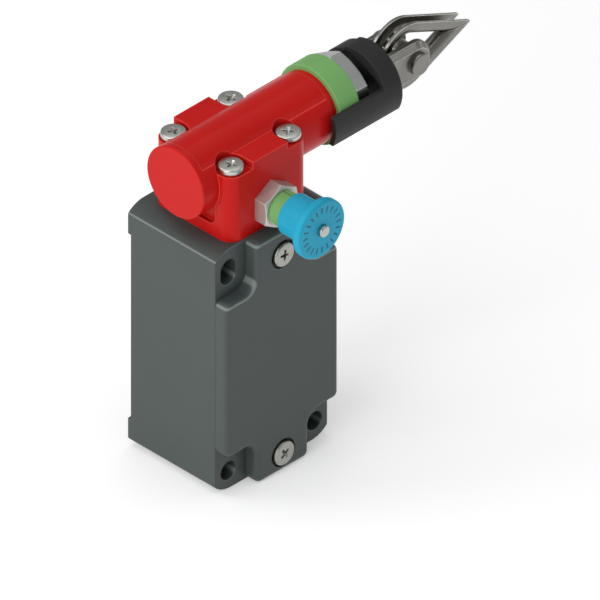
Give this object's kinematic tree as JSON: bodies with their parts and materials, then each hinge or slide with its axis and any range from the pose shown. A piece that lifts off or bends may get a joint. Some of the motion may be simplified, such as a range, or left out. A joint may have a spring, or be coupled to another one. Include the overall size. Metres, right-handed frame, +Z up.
{
  "type": "rope pull switch",
  "caption": "Metal-cased safety switch tripped by a rope: pull rod with indicator hood and thimble, pull-to-reset knob, four fixing holes, cable entry below.",
  "frame": {"origin": "midway between the two lower fixing holes, on the plane of the mounting pads", "axes": "+X along the rope, away from the switch; +Y out of the back, into the wall; +Z up, from the cable entry to the head"},
  "size_m": [0.1007, 0.0496, 0.0985],
  "materials": {
    "housing_paint": "fine textured paint, satin",
    "head_paint": "smooth gloss paint",
    "bright_steel": "plated, bright",
    "satin_steel": "satin",
    "spring_steel": "drawn wire",
    "bush_metal": "satin, turned",
    "contact_brass": "satin",
    "green_plastic": "moulded",
    "blue_plastic": "moulded, satin",
    "black_plastic": "moulded",
    "block_plastic": "moulded",
    "slide_plastic": "moulded",
    "seal_rubber": "matte"
  },
  "bodies": {
    "switch": {"housing": "housing_paint", "front_cover": "housing_paint", "cover_seal": "seal_rubber", "cover_screws": "bright_steel", "head": "head_paint", "head_seal": "seal_rubber", "head_screws": "bright_steel", "index_ring": "green_plastic", "guide_bush": "bush_metal", "rod_wiper": "seal_rubber", "main_spring": "spring_steel", "reset_bush": "bright_steel", "reset_sleeve": "green_plastic", "reset_spring": "spring_steel", "contact_block": "block_plastic", "contact_spring": "spring_steel", "fixed_strips": "contact_brass", "terminal_washers": "bright_steel", "terminal_screws": "bright_steel", "earth_screw": "bright_steel", "block_screws": "bright_steel"},
    "rope_rod": {"pull_rod": "bright_steel", "indicator_hood": "black_plastic", "clevis": "satin_steel", "clevis_pin": "satin_steel", "pin_clip": "spring_steel", "pin_spacer": "satin_steel"},
    "rope_thimble": {"thimble": "satin_steel"},
    "reset": {"reset_knob": "blue_plastic", "reset_shaft": "bright_steel", "cam_blade": "bright_steel"},
    "trip": {"trip_plunger": "bright_steel", "contact_slide": "slide_plastic", "contact_bridges": "contact_brass"}
  },
  "joints": [
    {"name": "rope_pull", "type": "slide", "parent": "switch", "child": "rope_rod", "axis": [1, 0, 0], "range_m": [0, 0.0128], "stiffness_N_per_m": 1500, "springref_m": -0.004, "deforming": ["main_spring"]},
    {"name": "thimble_swing", "type": "hinge", "parent": "rope_rod", "child": "rope_thimble", "pos_m": [0.0592, -0.0164, 0.0821], "axis": [0, 1, 0], "range_deg": [-90, 90]},
    {"name": "reset_pull", "type": "slide", "parent": "switch", "child": "reset", "axis": [0, -1, 0], "range_m": [-0.0035, 0], "deforming": ["reset_spring"]},
    {"name": "trip_drop", "type": "slide", "parent": "switch", "child": "trip", "axis": [0, 0, 1], "range_m": [-0.00175, 0], "deforming": ["contact_spring"]}
  ],
  "couplings": [
    {"joint": "trip_drop", "follows": "reset_pull", "ratio": 0.5}
  ]
}
